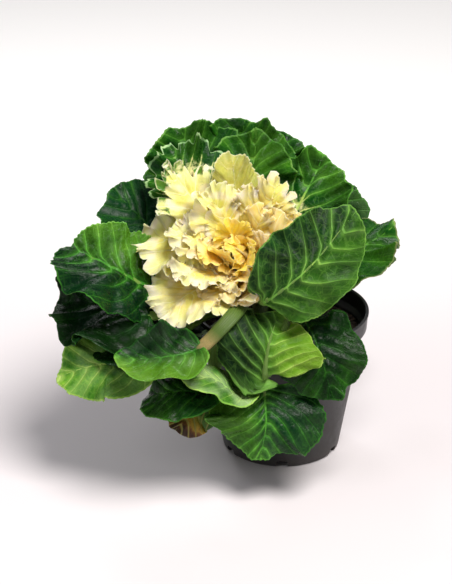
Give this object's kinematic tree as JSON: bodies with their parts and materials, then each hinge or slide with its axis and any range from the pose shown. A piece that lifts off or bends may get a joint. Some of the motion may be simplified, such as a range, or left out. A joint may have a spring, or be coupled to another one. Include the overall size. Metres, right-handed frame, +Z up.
{
  "type": "ornamental kale plant in a pot",
  "caption": "Potted ornamental kale: a frilled cream rosette with a golden heart, ringed by waxy green leaves, leaning out of a plain black nursery pot.",
  "frame": {"origin": "centre of the pot's base, on the surface it stands on", "axes": "+Z up out of the pot; the crown leans out towards -X and -Y, and the rosette faces -Y"},
  "size_m": [0.2083, 0.1974, 0.1958],
  "materials": {
    "pot": "black injection-moulded plastic, satin",
    "potting_mix": "moist peat mix, matt",
    "stem": "pale green stem with leaf scars",
    "leaf_green": "waxy green leaf with pale veins",
    "leaf_inner": "waxy green leaf fading to cream at its heart side",
    "leaf_cream": "soft cream leaf with a frilled margin",
    "leaf_heart": "golden young leaf",
    "leaf_old": "yellowing leaf with a brown tip"
  },
  "bodies": {
    "root": {"pot": "pot", "potting_mix": "potting_mix", "stem": "stem", "leaf_outer_01": "leaf_green", "leaf_outer_02": "leaf_green", "leaf_outer_03": "leaf_green", "leaf_outer_04": "leaf_green", "leaf_outer_05": "leaf_green", "leaf_outer_06": "leaf_green", "leaf_outer_07": "leaf_green", "leaf_outer_08": "leaf_green", "leaf_outer_09": "leaf_green", "leaf_outer_10": "leaf_green", "leaf_low_01": "leaf_green", "leaf_low_02": "leaf_green", "leaf_low_03": "leaf_green", "leaf_low_04": "leaf_old", "leaf_low_05": "leaf_green", "leaf_low_06": "leaf_green", "leaf_low_07": "leaf_green", "leaf_low_08": "leaf_green", "leaf_low_09": "leaf_green", "leaf_inner_01": "leaf_inner", "leaf_inner_02": "leaf_inner", "leaf_inner_03": "leaf_inner", "leaf_inner_04": "leaf_inner", "leaf_cream_a_01": "leaf_cream", "leaf_cream_a_02": "leaf_cream", "leaf_cream_a_03": "leaf_cream", "leaf_cream_a_04": "leaf_cream", "leaf_cream_a_05": "leaf_cream", "leaf_cream_a_06": "leaf_cream", "leaf_cream_a_07": "leaf_cream", "leaf_cream_b_01": "leaf_cream", "leaf_cream_b_02": "leaf_cream", "leaf_cream_b_03": "leaf_cream", "leaf_cream_b_04": "leaf_cream", "leaf_cream_b_05": "leaf_cream", "leaf_cream_b_06": "leaf_cream", "leaf_cream_b_07": "leaf_cream", "leaf_cream_c_01": "leaf_cream", "leaf_cream_c_02": "leaf_cream", "leaf_cream_c_03": "leaf_cream", "leaf_cream_c_04": "leaf_cream", "leaf_cream_c_05": "leaf_cream", "leaf_cream_c_06": "leaf_cream", "leaf_heart_01": "leaf_heart", "leaf_heart_02": "leaf_heart", "leaf_heart_03": "leaf_heart", "leaf_heart_04": "leaf_heart", "leaf_heart_05": "leaf_heart", "leaf_heart_06": "leaf_heart"}
  },
  "joints": []
}
